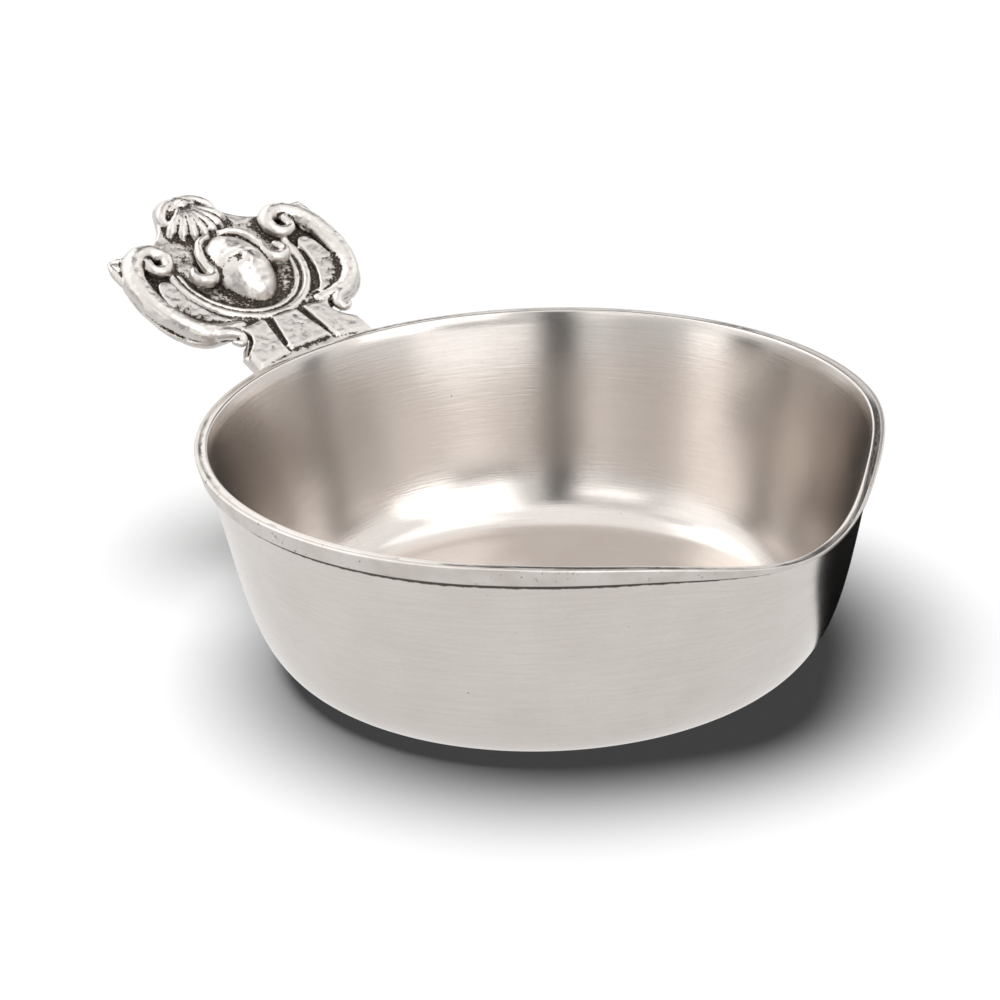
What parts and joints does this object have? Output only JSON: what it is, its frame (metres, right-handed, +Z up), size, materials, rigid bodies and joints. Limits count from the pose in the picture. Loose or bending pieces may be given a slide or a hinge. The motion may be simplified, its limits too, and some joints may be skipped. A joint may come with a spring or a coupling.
{
  "type": "porringer",
  "caption": "Shallow round pewter bowl with a soldered rim band, a dipped pouring lip and one flat cast handle with scrolls, a mask and a shell.",
  "frame": {"origin": "centre of the flat base", "axes": "+Z up out of the bowl, +X over the pouring lip, so the handle stands out along -X"},
  "size_m": [0.1771, 0.1304, 0.0676],
  "materials": {
    "pewter_bowl": "satin pewter, finely brushed inside",
    "pewter_rim": "satin pewter, dressed by file",
    "pewter_cast": "cast pewter, polished on the raised work and dark in the recesses",
    "solder": "dull soft solder"
  },
  "bodies": {
    "root": {"bowl": "pewter_bowl", "rim_band": "pewter_rim", "handle": "pewter_cast", "handle_solder": "solder"}
  },
  "joints": []
}
